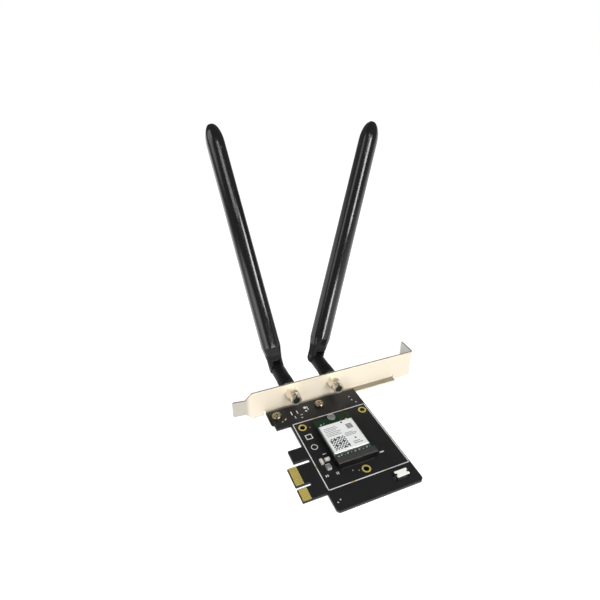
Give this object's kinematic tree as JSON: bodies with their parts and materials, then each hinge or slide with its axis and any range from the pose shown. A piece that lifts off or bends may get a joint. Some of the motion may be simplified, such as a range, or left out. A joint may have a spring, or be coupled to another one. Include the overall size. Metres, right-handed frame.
{
  "type": "pcie wifi card",
  "caption": "Plug-in radio card: black carrier board with edge contacts, a small socketed module, a full-height slot bracket, and hinged black aerials screwed on its jacks.",
  "frame": {"origin": "middle of the key slot, on the contact edge, half way through the board", "axes": "+X along the bracket towards its screw tab and away from the socket, +Y out through the bracket, +Z off the component side"},
  "size_m": [0.1268, 0.185, 0.1481],
  "materials": {
    "solder_mask": "satin",
    "gold_plate": "polished",
    "nickel_sheet": "satin",
    "steel": "polished",
    "socket_black": "satin",
    "tin": "satin",
    "module_green": "satin",
    "shield_steel": "satin",
    "label_white": "matte",
    "chip_black": "matte",
    "header_ivory": "satin",
    "chip_tan": "satin",
    "coil_grey": "matte",
    "jack_metal": "polished",
    "insulator": "matte",
    "plug_black": "matte",
    "aerial_black": "gloss",
    "aerial_metal": "satin"
  },
  "bodies": {
    "card": {"circuit_board": "solder_mask", "edge_contacts_top": "gold_plate", "edge_contacts_bottom": "gold_plate", "sink_rings": "gold_plate", "bracket": "nickel_sheet", "board_screws": "steel", "m2_socket": "socket_black", "m2_socket_tails": "tin", "module_board": "module_green", "module_chips": "chip_black", "module_shield": "shield_steel", "module_label": "label_white", "module_receptacles": "gold_plate", "module_standoff": "steel", "module_screw": "steel", "header_housing": "socket_black", "header_cap": "header_ivory", "header_pins": "tin", "header_anchors": "tin", "chip_bodies": "chip_tan", "chip_ends": "tin", "power_coil": "coil_grey", "jack_washers": "jack_metal", "jack_nuts": "jack_metal", "left_jack_body": "jack_metal", "left_jack_dielectric": "insulator", "left_jack_plug": "plug_black", "left_jack_pin": "gold_plate", "left_coupling_nut": "aerial_black", "right_jack_body": "jack_metal", "right_jack_dielectric": "insulator", "right_jack_plug": "plug_black", "right_jack_pin": "gold_plate", "right_coupling_nut": "aerial_black"},
    "left_base": {"left_swivel_base": "aerial_black"},
    "left_blade": {"left_blade_yoke": "aerial_black", "left_hinge_pin": "plug_black", "left_blade_shell": "aerial_black", "left_radiator": "aerial_metal"},
    "right_base": {"right_swivel_base": "aerial_black"},
    "right_blade": {"right_blade_yoke": "aerial_black", "right_hinge_pin": "plug_black", "right_blade_shell": "aerial_black", "right_radiator": "aerial_metal"}
  },
  "joints": [
    {"name": "left_swivel", "type": "hinge", "parent": "card", "child": "left_base", "pos_m": [0.02, 0.0824, 0.00925], "axis": [0, 1, 0], "range_deg": [-175.2, 4.8]},
    {"name": "left_tilt", "type": "hinge", "parent": "left_base", "child": "left_blade", "pos_m": [0.02, 0.0824, 0.00925], "axis": [0.9965, 0, 0.0837], "range_deg": [-58.8, 31.2]},
    {"name": "right_swivel", "type": "hinge", "parent": "card", "child": "right_base", "pos_m": [0.0471, 0.0824, 0.00925], "axis": [0, 1, 0], "range_deg": [-24.7, 155.3]},
    {"name": "right_tilt", "type": "hinge", "parent": "right_base", "child": "right_blade", "pos_m": [0.0471, 0.0824, 0.00925], "axis": [0.9085, 0, -0.4179], "range_deg": [-70, 20]}
  ]
}
